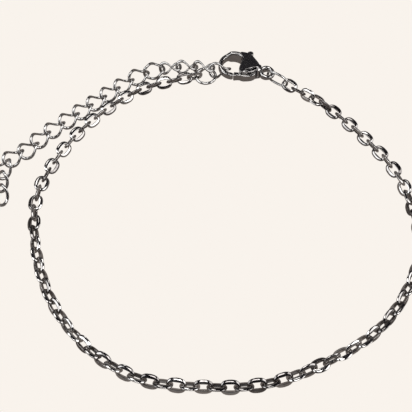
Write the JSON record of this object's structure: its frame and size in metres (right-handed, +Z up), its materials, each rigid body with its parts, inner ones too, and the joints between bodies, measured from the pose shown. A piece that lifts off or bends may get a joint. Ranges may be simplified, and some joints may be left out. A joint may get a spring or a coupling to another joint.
{
  "type": "cable chain bracelet",
  "caption": "Fine cable chain bracelet lying closed, with an extension chain of twisted links, a jump ring and a lobster clasp.",
  "frame": {"origin": "under the middle of the bracelet's bounding box, on the table it lies on", "axes": "+X to the right seen from above with the clasp at the far side, +Y from the viewer towards the clasp, +Z up"},
  "size_m": [0.0646, 0.0585, 0.0032],
  "materials": {
    "chain_steel": "polished dark steel with flat hammered faces",
    "extender_steel": "polished dark steel wire",
    "ring_steel": "bright polished steel wire",
    "clasp_steel": "polished dark cast steel"
  },
  "bodies": {
    "root": {"chain_left": "chain_steel", "chain_right": "chain_steel", "jump_ring": "ring_steel", "extender_link_01": "extender_steel", "extender_link_02": "extender_steel", "extender_link_03": "extender_steel", "extender_link_04": "extender_steel", "extender_link_05": "extender_steel", "extender_link_06": "extender_steel", "extender_link_07": "extender_steel", "extender_link_08": "extender_steel", "extender_link_09": "extender_steel", "extender_link_10": "extender_steel", "extender_link_11": "extender_steel", "extender_link_12": "extender_steel", "extender_link_13": "extender_steel", "extender_link_14": "extender_steel", "extender_link_15": "extender_steel", "extender_link_16": "extender_steel", "extender_link_17": "extender_steel", "extender_link_18": "extender_steel", "connector_link": "ring_steel", "clasp_body": "clasp_steel"},
    "lever": {"clasp_lever": "clasp_steel"}
  },
  "joints": [
    {"name": "lever_hinge", "type": "hinge", "parent": "root", "child": "lever", "pos_m": [0.00773, 0.02465, 0.00123], "axis": [0, 0, -1], "range_deg": [0, 22], "stiffness_Nm_per_rad": 0.001}
  ]
}
